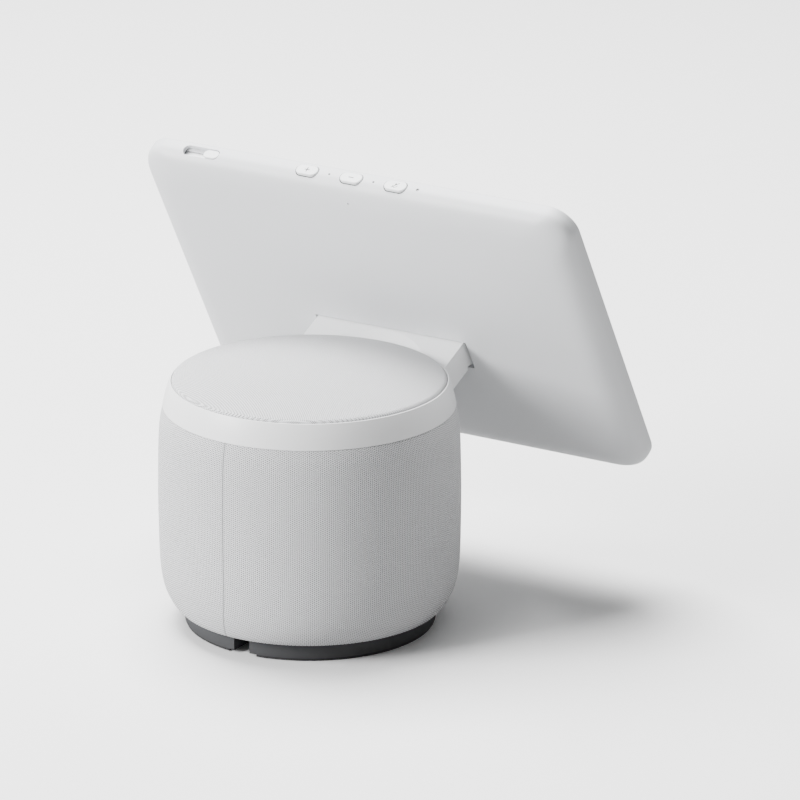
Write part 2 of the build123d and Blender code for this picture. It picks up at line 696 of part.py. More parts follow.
def dome(inset, r):
    """The crowned top, moved in by inset and cut at a radius, with a rounded shoulder."""
    radius = DOME_SPHERE_R - inset
    centre = DOME_EDGE_Z + DOME_RISE - DOME_SPHERE_R

    def on_top(x):
        return (x, centre + sqrt(radius**2 - x**2))

    shoulder = on_top(r)
    crown = ThreePointArc(on_top(0), on_top(r / 2), shoulder)
    rest = Polyline(shoulder, (r, DOME_BOTTOM), (0, DOME_BOTTOM), on_top(0))
    face = make_face([crown, rest])
    corner = face.vertices().sort_by(lambda v: -abs(v.X - shoulder[0]) - abs(v.Y - shoulder[1]))[-1]
    return revolve(Plane.XZ * fillet(corner, SHOULDER_R - inset), Axis.Z)


def make_top_fabric():
    return dome(0, DOME_R) - dome(0.8, DOME_R - 0.8)


def make_top_cap():
    cap = dome(0.85, DOME_R - 0.85)
    hollow = Pos(0, 0, DOME_EDGE_Z + DOME_RISE - DOME_SPHERE_R) * Sphere(DOME_SPHERE_R - 3.0)
    cap = cap - (hollow & disc(DOME_R - 3.0, 100, 150))
    for leg in round_about(block(60.0, 62.0, -5, 5, 116.0, 125.2), 4, 0):
        cap = cap + leg
    return cap - block(-45, 45, -75, -52, 100, 124.0)


def make_arm_cable():
    """The flat cable bundle from the turntable's centre up into the arm."""
    lying = block(-9, 9, -63.2, -6, 115.4, 116.4)
    rising = IN_ARM * block(-9, 9, 13, 25.6, 2.2, 3.2)
    drop = block(-9, 9, -6.2, -5, 101.0, 116.4)
    return lying + rising + drop


# ---------------------------------------------------------------- screen
def back_depth(inset):
    """How far the back surface lies from the z = 0 plane, against the distance in from the side."""
    edge = 13.0
    if inset < edge:
        t = 1 - inset / edge
        return 8.6 - 9.8 * (1 - t**2.4) ** (1 / 2.4)
    t = (inset - edge) / (SCREEN_H / 2 - edge)
    return -1.2 - (BACK_CROWN - 1.2) * (1 - (1 - t) ** 2)


def back_body(shrink):
    """The rounded back as a loft through rounded rectangles, with the straight rim in front."""
    insets = [0, 0.5, 2.0, 5.0, 9.0, 14.0, 24.0, 42.0, 66.0]
    sections = []
    for s in insets:
        w, h = SCREEN_W - 2 * (s + shrink), SCREEN_H - 2 * (s + shrink)
        r = max(SCREEN_CORNER - shrink - 0.08 * s, 5.0)
        sections.append(Pos(0, 0, back_depth(s) + shrink) * RectangleRounded(w, h, r))
    dome_part = loft(sections, ruled=True)
    rim = plate(SCREEN_W - 2 * shrink, SCREEN_H - 2 * shrink, SCREEN_CORNER - shrink,
                back_depth(0) + shrink, SCREEN_T + shrink)
    return dome_part + rim


def stadium(length, height, depth):
    return extrude(SlotOverall(length, height), depth)


def top_cut(x, z, shape):
    """A shape drawn in x and z, sunk into the screen's top edge."""
    return Pos(x, SCREEN_H / 2, z) * Rot(90, 0, 0) * shape


def make_rear_housing():
    body = back_body(0) & block(-130, 130, -95, 95, -20, SCREEN_T)
    cavity = back_body(SCREEN_SKIN) & block(-130, 130, -95, 95, -20, SCREEN_T + 5)
    shell = body - cavity
    rebate = plate(SCREEN_W - 2.2, SCREEN_H - 2.2, SCREEN_CORNER - 1.1, SCREEN_T - 1.7, SCREEN_T + 5)
    shell = shell - rebate
    mid = (POCKET_TOP + POCKET_LOW) / 2
    height = POCKET_TOP - POCKET_LOW
    tub = plate(2 * POCKET_HALF_W + 3.2, height + 5.2, 2.0, -3.0, POCKET_FLOOR + 1.2, 0, mid) & body
    pocket = plate(2 * POCKET_HALF_W, height, 0.8, -20, POCKET_FLOOR, 0, mid)
    shell = shell + tub - pocket
    shell = shell - plate(18, 7, 1.0, POCKET_FLOOR - 2, POCKET_FLOOR + 4, 0, POCKET_TOP - 5)
    shell = shell - across(SHAFT_R + GAP, -55, 55, PIVOT_V, PIVOT_W)
    for i in (-1, 0, 1):
        size = (BUTTON_SIZE[0] + 0.6, BUTTON_SIZE[1] + 0.6)
        shell = shell - top_cut(i * BUTTON_PITCH, BUTTON_W, stadium(*size, 6).moved(Location((0, 0, -1))))
    shell = shell - top_cut(SLOT_X, SLOT_Z, stadium(*SLOT_SIZE, 5.0).moved(Location((0, 0, -1))))
    for x, r in ((-BUTTON_PITCH / 2, 0.5), (BUTTON_PITCH / 2, 0.5), (-38.8, 0.8)):
        shell = shell - top_cut(x, BUTTON_W, Cylinder(r, 12))
    shell = shell - Pos(0, 79.5, 0) * Cylinder(0.45, 12)
    for x, y in SCREEN_SCREWS:
        boss = disc(3.2, back_depth(20) + 1.0, 6.9, x, y) & body
        shell = shell + boss - disc(1.2, 1.2, 9, x, y)
    return shell


SCREEN_SCREWS = [(x, y) for x in (-114.5, 114.5) for y in (-76, 0, 72)]


def make_mid_frame():
    frame = plate(243.0, 170.0, 10.0, 7.2, 8.2)
    frame = frame + plate(246.0, 173.0, 11.6, 8.2, 8.8) - plate(222, 142, 2, 8.2, 9)
    for x, y in SCREEN_SCREWS:
        frame = frame - disc(1.5, 6, 10, x, y) - disc(2.7, 8.2, 10, x, y)
    windows = [plate(40, 22, 3, 6, 10, x, 44) for x in (-70, 70)]
    tub = ((POCKET_TOP + POCKET_LOW) / 2, POCKET_TOP - POCKET_LOW)
    windows.append(plate(2 * POCKET_HALF_W + 6, tub[1] + 8, 2, 6, 10, 0, tub[0]))
    frame = cut_all(frame, windows)
    frame = frame - disc(5.4, 6, 10, *CAMERA_AT)
    top = block(-50, 118, 80.5, 95, 6, 10)
    return frame - top


def make_screen_screws():
    one = screw(1.15, 2.4, 4.8, 0.8)
    return group([Pos(x, y, 8.25) * one for x, y in SCREEN_SCREWS])


def make_lcd_panel():
    return plate(221.0, 141.0, 1.0, 8.3, 11.0)


def make_bezel_mask():
    """The printed border behind the glass, with the camera's and sensor's windows."""
    mask = plate(246.8, 173.8, 11.9, 11.05, 11.55) - plate(216.96, 135.6, 0.6, 10, 12)
    return mask - disc(3.4, 10, 12, *CAMERA_AT) - disc(1.5, 10, 12, CAMERA_AT[0] - 14, CAMERA_AT[1])


def make_cover_glass():
    glass = plate(248.4, 175.4, 12.5, 11.6, SCREEN_T - 0.15)
    return chamfer(glass.edges().group_by(Axis.Z)[-1], 0.35)


def make_main_board():
    board = plate(150, 62, 2.5, 3.2, 4.4, 0, 40)
    parts = [block(-60, -44, 22, 34, 2.2, 3.2), block(40, 58, 20, 30, 1.6, 3.2)]
    for i in range(6):
        x = -30 + i * 12
        parts.append(block(x, x + 6, 62, 66, 1.6, 3.2))
    parts += [plate(44, 34, 1.5, 0.9, 3.2, -18, 42), plate(26, 26, 1.5, 1.2, 3.2, 28, 44)]
    for part in parts:
        board = board + part
    for x, y in ((-70, 14), (70, 14), (-70, 66), (70, 66)):
        board = board - disc(1.6, 0, 10, x, y)
    return board


def make_heat_spreader():
    sheet = plate(120, 56, 3, 4.5, 6.4, 0, 40)
    for i in range(7):
        sheet = sheet - block(-54 + i * 17, -48 + i * 17, 18, 62, 5.4, 7)
    return sheet


def make_hinge_brackets():
    """Two plates beside the pocket that hold the tilt shaft's ends to the mid frame."""
    parts = []
    for side in (-1, 1):
        x0 = side * (POCKET_HALF_W + 1.9)
        leaf = block(x0, x0 + side * 2.4, PIVOT_V - 7, PIVOT_V + 9, -1.8, 7.0)
        foot = block(x0, x0 + side * 16, PIVOT_V - 7, PIVOT_V + 9, 5.6, 7.1)
        bracket = leaf + foot - across(SHAFT_R + 0.01, -70, 70, PIVOT_V, PIVOT_W)
        parts.append(bracket)
    return group(parts)


def make_tilt_shaft():
    shaft = across(SHAFT_R, -(POCKET_HALF_W + 5.2), POCKET_HALF_W + 5.2, PIVOT_V, PIVOT_W)
    for side in (-1, 1):
        x = side * (POCKET_HALF_W + 5.2)
        flat = block(x - side * 0.8, x + side * 1, PIVOT_V - 5, PIVOT_V - 1.6, PIVOT_W - 5, PIVOT_W + 5)
        shaft = shaft - flat
    return shaft


def make_button(i):
    """A button with its stem, proud of the top edge and with room to sink."""
    cap = stadium(*BUTTON_SIZE, 1.5)
    cap = chamfer(cap.edges().group_by(Axis.Z)[0], 0.35)
    flange = Pos(0, 0, 1.5) * extrude(SlotOverall(BUTTON_SIZE[0] - 1.6, BUTTON_SIZE[1] - 2.2), 1.1)
    stem = Pos(0, 0, 2.6) * extrude(Circle(1.4), 2.3 - BUTTON_TRAVEL)
    whole = (cap + flange + stem).moved(Location((0, 0, -BUTTON_PROUD)))
    return top_cut(i * BUTTON_PITCH, BUTTON_W, whole)


def make_button_board():
    """The board behind the buttons, with one switch under each stem."""
    y = SCREEN_H / 2 - 6.6
    board = block(-46, 36, y - 1.0, y, 4.9, 11.0)
    for i in (-1, 0, 1):
        x = i * BUTTON_PITCH
        board = board + block(x - 2.6, x + 2.6, y, y + 1.6, 6.4, 10.8)
    return board


def make_microphones():
    """Microphone capsules behind their ports."""
    y = SCREEN_H / 2 - 6.5
    top = [block(x - 1.8, x + 1.8, y, y + 1.2, 7.2, 10.0) for x in (-BUTTON_PITCH / 2, BUTTON_PITCH / 2)]
    rear = block(-2.4, 2.4, 77.6, 81.4, 2.2, 3.1)
    return group([*top, rear])


def make_status_light():
    y = SCREEN_H / 2
    pipe = Pos(-38.8, y - 3.2, BUTTON_W) * Rot(90, 0, 0) * Cylinder(0.75, 5.6)
    return pipe + block(-40.6, -37.0, y - 6.5, y - 5.9, 7.2, 10.0)


def make_camera_module():
    x, y = CAMERA_AT
    body = block(x - 4.6, x + 4.6, y - 4.6, y + 4.6, 2.6, 6.8)
    barrel_part = disc(3.3, 6.8, 9.2, x, y) - disc(2.2, 8.6, 10, x, y)
    return body + barrel_part


def make_camera_lens():
    x, y = CAMERA_AT
    r, rise = 2.15, 0.6
    sphere_r = (r * r + rise * rise) / (2 * rise)
    cap = Pos(x, y, 9.25 - sphere_r) * Sphere(sphere_r) & disc(r, 8.65, 9.3, x, y)
    return cap


def make_shutter():
    """The sliding knob and the blade that it carries across the lens."""
    x0 = SLOT_X - SLOT_SIZE[0] / 2 + 0.35
    xc = x0 + KNOB_LENGTH / 2
    top = SCREEN_H / 2
    knob = Pos(xc, top - 0.35, SLOT_Z) * Rot(90, 0, 0) * extrude(SlotOverall(KNOB_LENGTH, 5.4), 1.9)
    knob = chamfer(knob.edges().group_by(Axis.Y)[-1], 0.3)
    stem = block(xc - 2.2, xc + 2.2, top - 4.9, top - 2.2, SLOT_Z - 1.2, SLOT_Z + 1.2)
    rail = block(xc - 3.2, xc + 7.0, top - 5.9, top - 4.9, SLOT_Z - 1.6, 10.5)
    x_blade = CAMERA_AT[0] - SHUTTER_TRAVEL
    blade = block(x_blade - 3.6, x_blade + 3.6, CAMERA_AT[1] - 3.8, top - 4.9, 9.8, 10.5)
    bridge = block(xc - 3.2, x_blade + 3.6, top - 5.9, top - 4.9, 9.8, 10.5)
    return knob + stem + rail + blade + bridge


# ---------------------------------------------------------------- write every piece
BARREL_PIECES = {
    "foot_pad": make_foot_pad,
    "base_plate": make_base_plate,
    "foot_screws": make_foot_screws,
    "ballast_plate": make_ballast,
    "power_socket": make_power_socket,
    "lower_chassis": make_lower_chassis,
    "speaker_enclosure": make_enclosure,
    "woofer_basket": make_woofer_basket,
    "woofer_cone": make_woofer_cone,
    "woofer_surround": make_woofer_surround,
    "woofer_magnet": make_woofer_magnet,
    "tweeter_left": lambda: make_tweeter(-1),
    "tweeter_right": lambda: make_tweeter(1),
    "tweeter_domes": make_tweeter_domes,
    "power_board": make_power_board,
    "heat_sink": make_heat_sink,
    "board_standoffs": make_board_standoffs,
    "top_deck": make_top_deck,
    "deck_screws": make_deck_screws,
    "motor_stator": make_motor_stator,
    "bearing_lower_race": make_lower_race,
    "flex_cassette": make_flex_cassette,
    "spiral_flex": make_spiral_flex,
    "grille_shell": make_grille_shell,
    "side_fabric": make_fabric_sleeve,
}
TURNING_PIECES = {
    "motor_rotor": make_motor_rotor,
    "motor_pinion": make_pinion,
    "ball_cage": make_ball_cage,
    "bearing_balls": make_balls,
    "bearing_upper_race": make_upper_race,
    "turntable": make_turntable,
    "drive_gear": make_drive_gear,
    "collar_cover": make_collar_cover,
    "collar_screws": make_collar_screws,
    "arm_lower_cover": make_arm_lower_cover,
    "arm_frame": make_arm_frame,
    "head_screws": make_head_screws,
    "friction_clips": make_friction_clips,
    "arm_cable": make_arm_cable,
    "top_cap": make_top_cap,
    "top_fabric": make_top_fabric,
}
SCREEN_PIECES = {
    "rear_housing": make_rear_housing,
    "mid_frame": make_mid_frame,
    "screen_screws": make_screen_screws,
    "lcd_panel": make_lcd_panel,
    "bezel_mask": make_bezel_mask,
    "cover_glass": make_cover_glass,
    "main_board": make_main_board,
    "heat_spreader": make_heat_spreader,
    "hinge_brackets": make_hinge_brackets,
    "tilt_shaft": make_tilt_shaft,
    "volume_up_button": lambda: make_button(1),
    "volume_down_button": lambda: make_button(0),
    "mic_off_button": lambda: make_button(-1),
    "button_board": make_button_board,
    "status_light": make_status_light,
    "microphones": make_microphones,
    "camera_module": make_camera_module,
    "camera_lens": make_camera_lens,
    "camera_shutter": make_shutter,
}


def main():
    os.makedirs("parts", exist_ok=True)
    for name, make in {**BARREL_PIECES, **TURNING_PIECES}.items():
        save(name, make())
    for name, make in SCREEN_PIECES.items():
        save(name, on_screen(make()))
    print(len(WRITTEN), "pieces written")


main()
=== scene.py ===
from math import atan2, cos, hypot, pi, radians, sin, sqrt

import bmesh
import bpy
from mathutils import Matrix, Vector


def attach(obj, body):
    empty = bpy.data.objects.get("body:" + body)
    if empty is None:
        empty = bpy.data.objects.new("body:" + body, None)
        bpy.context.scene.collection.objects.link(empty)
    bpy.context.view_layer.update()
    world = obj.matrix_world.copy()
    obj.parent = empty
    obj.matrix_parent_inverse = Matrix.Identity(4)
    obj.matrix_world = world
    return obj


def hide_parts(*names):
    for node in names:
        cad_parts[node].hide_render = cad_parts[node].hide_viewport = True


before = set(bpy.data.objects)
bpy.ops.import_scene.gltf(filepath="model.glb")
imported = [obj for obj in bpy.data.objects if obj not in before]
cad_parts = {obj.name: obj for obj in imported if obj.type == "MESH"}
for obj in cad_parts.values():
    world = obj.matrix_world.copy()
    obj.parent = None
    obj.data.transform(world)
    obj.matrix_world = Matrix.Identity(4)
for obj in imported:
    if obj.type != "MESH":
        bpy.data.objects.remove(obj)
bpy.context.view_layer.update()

MM = 0.001

# ---------------------------------------------------------------- dimensions, millimetres, as in the CAD
WALL = [(67.3, 9.7), (69.4, 12.0), (71.1, 15.0), (72.9, 19.0), (74.2, 24.0), (75.1, 31.0), (75.6, 42.0),
        (75.9, 65.0), (75.75, 80.0), (75.4, 95.0), (74.7, 105.0), (73.2, 113.0)]
DOME_R, DOME_EDGE, DOME_RISE = 68.7, 126.2, 9.0
TILT = 29.5
PIVOT = Vector((0.0, -86.0, 123.8))
PIVOT_V, PIVOT_W = -18.0, 1.0
SCREEN_W, SCREEN_H, SCREEN_T = 251.0, 178.0, 13.2
CORNER = 14.0
POCKET = (-45.0, 45.0, PIVOT_V - 6.6, PIVOT_V + 11.9)
BUTTONS = (-26.0, 0.0, 26.0)
BUTTON_Z = 8.1
SLOT = (89.4, 7.6, 21.6, 6.0)
SHUTTER_TRAVEL = 12.0
PINHOLES = ((-13.0, 0.6), (13.0, 0.6), (-38.8, 0.9))

SCREEN_TO_ROW = (Matrix.Translation(PIVOT * MM) @ Matrix.Rotation(radians(90 - TILT), 4, "X")
                 @ Matrix.Translation(Vector((0, -PIVOT_V, -PIVOT_W)) * MM))


# ---------------------------------------------------------------- node helpers
class Nodes:
    """A short way to write a material's node tree."""

    def __init__(self, name):
        self.mat = bpy.data.materials.new(name)
        self.mat.use_nodes = True
        self.tree = self.mat.node_tree
        self.shader = next(n for n in self.tree.nodes if n.type == "BSDF_PRINCIPLED")

    def add(self, kind, **values):
        node = self.tree.nodes.new(kind)
        for key, value in values.items():
            setattr(node, key, value)
        return node

    def put(self, value, socket):
        if isinstance(value, bpy.types.NodeSocket):
            self.tree.links.new(value, socket)
        else:
            socket.default_value = value

    def math(self, operation, a, b=0.0, c=None, clamp=False):
        node = self.add("ShaderNodeMath", operation=operation, use_clamp=clamp)
        self.put(a, node.inputs[0])
        self.put(b, node.inputs[1])
        if c is not None:
            self.put(c, node.inputs[2])
        return node.outputs[0]

    def scaled(self, value, from_low, from_high, to_low=0.0, to_high=1.0, smooth=False):
        node = self.add("ShaderNodeMapRange", interpolation_type="SMOOTHSTEP" if smooth else "LINEAR")
        for socket, v in zip(node.inputs[:5], (value, from_low, from_high, to_low, to_high)):
            self.put(v, socket)
        return node.outputs[0]

    def object_xyz(self):
        coords = self.add("ShaderNodeTexCoord").outputs["Object"]
        split = self.add("ShaderNodeSeparateXYZ")
        self.put(coords, split.inputs[0])
        return coords, split.outputs[0], split.outputs[1], split.outputs[2]

    def noise(self, vector, scale, detail=2.0, rough=0.5, stretch=None):
        if stretch:
            mapping = self.add("ShaderNodeMapping")
            self.put(vector, mapping.inputs[0])
            mapping.inputs["Scale"].default_value = stretch
            vector = mapping.outputs[0]
        node = self.add("ShaderNodeTexNoise")
        self.put(vector, node.inputs["Vector"])
        node.inputs["Scale"].default_value = scale
        node.inputs["Detail"].default_value = detail
        node.inputs["Roughness"].default_value = rough
        return node.outputs["Fac"]

    def mix(self, factor, a, b):
        node = self.add("ShaderNodeMix", data_type="RGBA")
        self.put(factor, node.inputs[0])
        for value, socket in ((a, node.inputs[6]), (b, node.inputs[7])):
            self.put((*value, 1.0) if isinstance(value, tuple) and len(value) == 3 else value, socket)
        return node.outputs[2]

    def bump(self, height, distance, strength=1.0):
        node = self.add("ShaderNodeBump")
        node.inputs["Strength"].default_value = strength
        node.inputs["Distance"].default_value = distance
        self.put(height, node.inputs["Height"])
        self.put(node.outputs[0], self.shader.inputs["Normal"])

    def set(self, **values):
        names = {"color": "Base Color", "rough": "Roughness", "metal": "Metallic", "sheen": "Sheen Weight",
                 "sheen_rough": "Sheen Roughness", "coat": "Coat Weight", "coat_rough": "Coat Roughness",
                 "ior": "IOR", "transmission": "Transmission Weight", "alpha": "Alpha",
                 "specular": "Specular IOR Level", "subsurface": "Subsurface Weight",
                 "subsurface_scale": "Subsurface Scale"}
        for key, value in values.items():
            if isinstance(value, tuple) and len(value) == 3:
                value = (*value, 1.0)
            self.put(value, self.shader.inputs[names[key]])


def moulded(name, color, rough=0.45, grain=0.00002, grain_scale=4200.0, drift=0.03, **more):
    """Moulded plastic: a fine spark-eroded grain, slow colour drift and a little roughness variation."""
    n = Nodes(name)
    coords, _, _, _ = n.object_xyz()
    slow = n.noise(coords, 18.0, 2.0)
    fine = n.noise(coords, grain_scale, 2.0, 0.6)
    dark = tuple(c * (1 - drift) for c in color)
    light = tuple(min(c * (1 + drift), 1.0) for c in color)
    n.set(color=n.mix(slow, dark, light), **more)
    n.set(rough=n.math("ADD", rough - 0.05, n.math("MULTIPLY", n.noise(coords, 60.0, 3.0), 0.1)))
    n.bump(fine, grain)
    return n.mat


def metal(name, color, rough=0.35, stretch=(1.0, 1.0, 60.0), depth=0.00001):
    """Bare metal with fine drawn or turned lines."""
    n = Nodes(name)
    coords, _, _, _ = n.object_xyz()
    lines = n.noise(coords, 160.0, 4.0, 0.6, stretch)
    n.set(color=n.mix(lines, tuple(c * 0.85 for c in color), color), metal=1.0)
    n.set(rough=n.scaled(lines, 0.3, 0.7, rough - 0.08, rough + 0.1))
    n.bump(lines, depth)
    return n.mat


def knit(name, color, columns=None, pitch=0.00088, rows=0.00088, dark=0.16, around=True, seam=None):
    """A close knit: staggered stitches with a dark pore between them, soft and slightly uneven, with painted
    shade in the dips of the yarn.
    """
    n = Nodes(name)
    coords, x, y, z = n.object_xyz()
    wander = n.noise(coords, 260.0, 2.0)
    drift = n.math("MULTIPLY", n.math("SUBTRACT", wander, 0.5), 0.40)
    if around:
        angle = n.math("ARCTAN2", y, x)
        u = n.math("MULTIPLY", angle, columns / (2 * pi))
        v = n.math("DIVIDE", z, rows)
    else:
        u = n.math("DIVIDE", n.math("ADD", x, z), pitch)
        v = n.math("DIVIDE", n.math("ADD", y, z), rows)
    u = n.math("ADD", u, drift)
    v = n.math("ADD", v, drift)
    column = n.math("FLOOR", u)
    parity = n.math("FLOORED_MODULO", column, 2.0)
    shifted = n.math("ADD", v, n.math("MULTIPLY", parity, 0.5))
    fu = n.math("SUBTRACT", n.math("FRACT", u), 0.5)
    fv = n.math("SUBTRACT", n.math("FRACT", shifted), 0.5)
    # the yarn: two legs of a stitch leaning to each other, higher at the middle of the column
    lean = n.math("ABSOLUTE", fu)
    leg = n.math("FRACT", n.math("ADD", shifted, n.math("MULTIPLY", lean, 0.9)))
    ridge = n.math("SINE", n.math("MULTIPLY", leg, pi))
    across = n.math("COSINE", n.math("MULTIPLY", fu, pi * 0.96))
    yarn = n.math("MULTIPLY", n.math("POWER", ridge, 0.6), n.math("POWER", across, 0.25))
    # the pore: a small dark spot in the middle of each column, staggered from one column to the next
    dv = n.math("SUBTRACT", 0.5, n.math("ABSOLUTE", fv))
    spot = n.math("SQRT", n.math("ADD", n.math("MULTIPLY", fu, fu), n.math("MULTIPLY", dv, dv)))
    pore = n.scaled(spot, 0.10, 0.44, 0.0, 1.0, smooth=True)
    height = n.math("MULTIPLY", n.math("ADD", n.math("MULTIPLY", yarn, 0.7), 0.3), pore)
    fibre = n.noise(coords, 5200.0, 2.0, 0.7)
    height = n.math("ADD", height, n.math("MULTIPLY", fibre, 0.25))
    slow = n.noise(coords, 14.0, 3.0)
    light = tuple(min(1.0, c * 1.07) for c in color)
    shade = n.mix(slow, tuple(c * 0.95 for c in color), light)
    deep = tuple(c * dark for c in color)
    # the knit's colour: the pore's own dark, plus painted shade that darkens the yarn to 0.74 in its dips
    # and leaves its crests lightest
    stitch_tone_and_shade = n.math("MULTIPLY", pore, n.scaled(yarn, 0.0, 1.0, 0.74, 1.0))
    stitch_tone_and_shade = n.math("MULTIPLY", stitch_tone_and_shade, n.scaled(n.noise(coords, 900.0, 1.0), 0.3, 0.7, 0.93, 1.0), clamp=True)
    if seam is not None:
        low, high = seam
        behind = n.math("GREATER_THAN", y, 0.0)
        bend = n.math("POWER", n.scaled(z, 0.040, 0.010), 2.0)
        line = n.math("ADD", low, n.math("MULTIPLY", bend, high - low))
        groove = n.scaled(n.math("ABSOLUTE", n.math("SUBTRACT", x, line)), 0.0001, 0.0007)
        groove = n.math("MAXIMUM", groove, n.math("SUBTRACT", 1.0, behind))
        height = n.math("MULTIPLY", height, groove)
        stitch_tone_and_shade = n.math("MULTIPLY", stitch_tone_and_shade, n.scaled(groove, 0.0, 1.0, 0.35, 1.0))
    n.set(color=n.mix(stitch_tone_and_shade, deep, shade), rough=0.92, sheen=0.25, sheen_rough=0.5, specular=0.2)
    n.bump(height, 0.00026, 0.9)
    return n.mat


# ---------------------------------------------------------------- mesh helpers
def make(name, vertices, faces, body, replaces=(), material=None, slot=None, smooth=True):
    mesh = bpy.data.meshes.new(name)
    mesh.from_pydata([tuple(v) for v in vertices], [], faces)
    mesh.update()
    obj = bpy.data.objects.new(name, mesh)
    bpy.context.scene.collection.objects.link(obj)
    if smooth:
        mesh.polygons.foreach_set("use_smooth", [True] * len(mesh.polygons))
    finish_piece(obj, body, replaces, material)
    return obj


def finish_piece(obj, body, replaces=(), material=None):
    if material:
        obj.data.materials.clear()
        obj.data.materials.append(material)
    if body:
        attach(obj, body)
    if replaces:
        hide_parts(*replaces)


def smooth_curve(points, steps):
    """A Catmull-Rom curve through the points."""
    out = []
    pts = [points[0]] + list(points) + [points[-1]]
    for i in range(1, len(pts) - 2):
        p0, p1, p2, p3 = (Vector(p) for p in pts[i - 1:i + 3])
        for k in range(steps):
            t = k / steps
            out.append(0.5 * ((2 * p1) + (p2 - p0) * t + (2 * p0 - 5 * p1 + 4 * p2 - p3) * t * t
                              + (3 * p1 - p0 - 3 * p2 + p3) * t ** 3))
    out.append(Vector(points[-1]))
    return [(p[0], p[1]) for p in out]


def lathe(name, profile, body, steps=256, closed=False, tip=False, **more):
    """Turns (radius, height) points, in millimetres, about Z. tip ends the last point at the axis."""
    verts, faces = [], []
    rows = len(profile) - (1 if tip else 0)
    for r, z in profile[:rows]:
        for k in range(steps):
            a = 2 * pi * k / steps
            verts.append((r * cos(a) * MM, r * sin(a) * MM, z * MM))
    for i in range(rows - 1):
        for k in range(steps):
            j = (k + 1) % steps
            faces.append((i * steps + k, i * steps + j, (i + 1) * steps + j, (i + 1) * steps + k))
    if tip:
        verts.append((0, 0, profile[-1][1] * MM))
        for k in range(steps):
            faces.append(((rows - 1) * steps + k, (rows - 1) * steps + (k + 1) % steps, len(verts) - 1))
    if closed:
        for k in range(steps):
            j = (k + 1) % steps
            faces.append(((rows - 1) * steps + k, (rows - 1) * steps + j, j, k))
    return make(name, verts, faces, body, **more)


def rounded_outline(w, h, r, per_corner=14, per_side=(28, 20)):
    """Points round a rounded rectangle, anticlockwise from the right side, always the same count."""
    points = []
    r = min(r, w / 2 - 0.01, h / 2 - 0.01)
    corners = [(w / 2 - r, h / 2 - r, 0), (-w / 2 + r, h / 2 - r, 90),
               (-w / 2 + r, -h / 2 + r, 180), (w / 2 - r, -h / 2 + r, 270)]
    for i, (cx, cy, start) in enumerate(corners):
        arc = [(cx + r * cos(radians(start + 90 * k / per_corner)),
                cy + r * sin(radians(start + 90 * k / per_corner))) for k in range(per_corner + 1)]
        points += arc
        nx, ny, ns = corners[(i + 1) % 4]
        target = (nx + r * cos(radians(ns)), ny + r * sin(radians(ns)))
        last = arc[-1]
        count = per_side[i % 2]
        points += [(last[0] + (target[0] - last[0]) * k / count, last[1] + (target[1] - last[1]) * k / count)
                   for k in range(1, count)]
    return points


# ---------------------------------------------------------------- materials
WHITE = (0.70, 0.71, 0.725)
shell_mat = moulded("shell_white_plastic", WHITE, 0.42, 0.000018, 3600.0, 0.015, specular=0.4)
collar_mat = moulded("collar_white_plastic", (0.86, 0.865, 0.87), 0.36, 0.000012, 4200.0, 0.01,
                     specular=0.45)
button_mat = moulded("button_white_plastic", (0.80, 0.81, 0.82), 0.4, 0.00001, 4200.0, 0.01)
glyph_mat = moulded("glyph_grey_print", (0.06, 0.062, 0.066), 0.6)
foot_mat = moulded("foot_dark_plastic", (0.042, 0.043, 0.046), 0.65, 0.00003, 2600.0, 0.06)
pad_mat = moulded("foot_rubber_pad", (0.03, 0.03, 0.032), 0.85, 0.00005, 1800.0, 0.1)
side_knit = knit("side_knit_fabric", (0.80, 0.805, 0.82), columns=450, seam=(0.002, 0.006), rows=0.00106)
top_knit = knit("top_knit_fabric", (0.76, 0.765, 0.78), pitch=0.00096, rows=0.00096, around=False)
# near-black plastic for the plates inside the pinholes: painted shade standing in for the dark inside each
# hole
pinhole_shade_mat = moulded("pinhole_painted_shade", (0.02, 0.02, 0.022), 0.6)
socket_mat = moulded("black_moulded_plastic", (0.025, 0.025, 0.027), 0.5)
inner_mat = moulded("grey_moulded_plastic", (0.42, 0.42, 0.43), 0.5, 0.00003, 1500.0)
acetal_mat = moulded("acetal_gear_plastic", (0.82, 0.80, 0.74), 0.38)
cone_mat = moulded("paper_cone_pulp", (0.045, 0.045, 0.047), 0.85, 0.00012, 900.0, 0.2)
roll_mat = moulded("surround_rubber_black", (0.025, 0.025, 0.026), 0.55)
film_mat = moulded("orange_flex_film", (0.5, 0.24, 0.06), 0.32, coat=0.3)
lcd_mat = moulded("display_panel_dark", (0.006, 0.007, 0.009), 0.3, 0.000002, 800.0, 0.2,
                  specular=0.15)
bezel_mat = moulded("bezel_print_white", (0.80, 0.81, 0.82), 0.3, 0.000002, 3000.0)
steel_mat = metal("drawn_steel", (0.56, 0.56, 0.57), 0.36)
bright_mat = metal("ground_bearing_steel", (0.75, 0.75, 0.76), 0.16, (60.0, 60.0, 1.0), 0.000003)
alloy_mat = metal("cast_alloy", (0.66, 0.67, 0.69), 0.45, (1.0, 1.0, 1.0), 0.00006)
screw_mat = metal("zinc_screw_steel", (0.58, 0.58, 0.57), 0.32)
iron_mat = metal("cast_iron_ballast", (0.16, 0.16, 0.165), 0.6, (1.0, 1.0, 1.0), 0.0002)
ferrite_mat = metal("sintered_ferrite", (0.07, 0.07, 0.075), 0.55, (1.0, 1.0, 1.0), 0.0001)
brass_mat = metal("turned_brass", (0.75, 0.58, 0.30), 0.28, (60.0, 60.0, 1.0))


